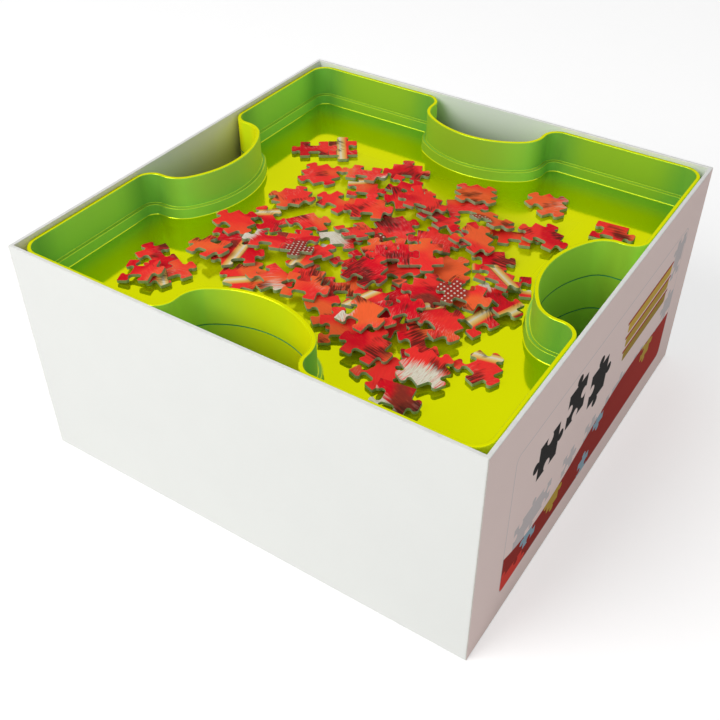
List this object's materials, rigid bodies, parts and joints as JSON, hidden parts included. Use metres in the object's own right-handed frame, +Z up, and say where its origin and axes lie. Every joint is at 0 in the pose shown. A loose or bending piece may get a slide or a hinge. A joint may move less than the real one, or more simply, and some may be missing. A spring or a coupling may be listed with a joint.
{
  "type": "puzzle sorter",
  "caption": "Square open-topped board box that holds a stack of nesting sorting trays with finger bites, and loose jigsaw pieces in the top tray.",
  "frame": {"origin": "middle of the underside, on the surface that the box stands on", "axes": "+Z up, -Y the plain front of the box, +X its printed right side"},
  "size_m": [0.268, 0.268, 0.1357],
  "materials": {
    "white_paper": "matt white litho paper",
    "stay_paper": "plain kraft stay paper",
    "greyboard": "bare greyboard",
    "tray_plastic": "glossy yellow-green moulding",
    "puzzle_card": "printed puzzle board with grey-green cut edges"
  },
  "bodies": {
    "box": {"bottom_sheet": "white_paper", "base_board": "greyboard", "front_board": "greyboard", "back_board": "greyboard", "left_board": "greyboard", "right_board": "greyboard", "corner_stays": "stay_paper", "outer_wrap": "white_paper"},
    "tray_1": {"tray_1": "tray_plastic"},
    "tray_2": {"tray_2": "tray_plastic"},
    "tray_3": {"tray_3": "tray_plastic"},
    "tray_4": {"tray_4": "tray_plastic"},
    "tray_5": {"tray_5": "tray_plastic"},
    "tray_6": {"tray_6": "tray_plastic"},
    "loose_pieces": {"opposite_knob_pieces": "puzzle_card", "neighbour_knob_pieces": "puzzle_card", "three_knob_pieces": "puzzle_card", "single_knob_pieces": "puzzle_card", "four_knob_pieces": "puzzle_card", "socket_pieces": "puzzle_card", "edge_pieces": "puzzle_card", "joined_pairs": "puzzle_card"}
  },
  "joints": [
    {"name": "tray_1_lift", "type": "slide", "parent": "box", "child": "tray_1", "axis": [0, 0, 1], "range_m": [0, 0.1439]},
    {"name": "tray_2_lift", "type": "slide", "parent": "tray_1", "child": "tray_2", "axis": [0, 0, 1], "range_m": [0, 0.1227]},
    {"name": "tray_3_lift", "type": "slide", "parent": "tray_2", "child": "tray_3", "axis": [0, 0, 1], "range_m": [0, 0.1016]},
    {"name": "tray_4_lift", "type": "slide", "parent": "tray_3", "child": "tray_4", "axis": [0, 0, 1], "range_m": [0, 0.0804]},
    {"name": "tray_5_lift", "type": "slide", "parent": "tray_4", "child": "tray_5", "axis": [0, 0, 1], "range_m": [0, 0.0593]},
    {"name": "tray_6_lift", "type": "slide", "parent": "tray_5", "child": "tray_6", "axis": [0, 0, 1], "range_m": [0, 0.0381]},
    {"name": "pieces_lift", "type": "slide", "parent": "tray_6", "child": "loose_pieces", "axis": [0, 0, 1], "range_m": [0, 0.04]}
  ]
}
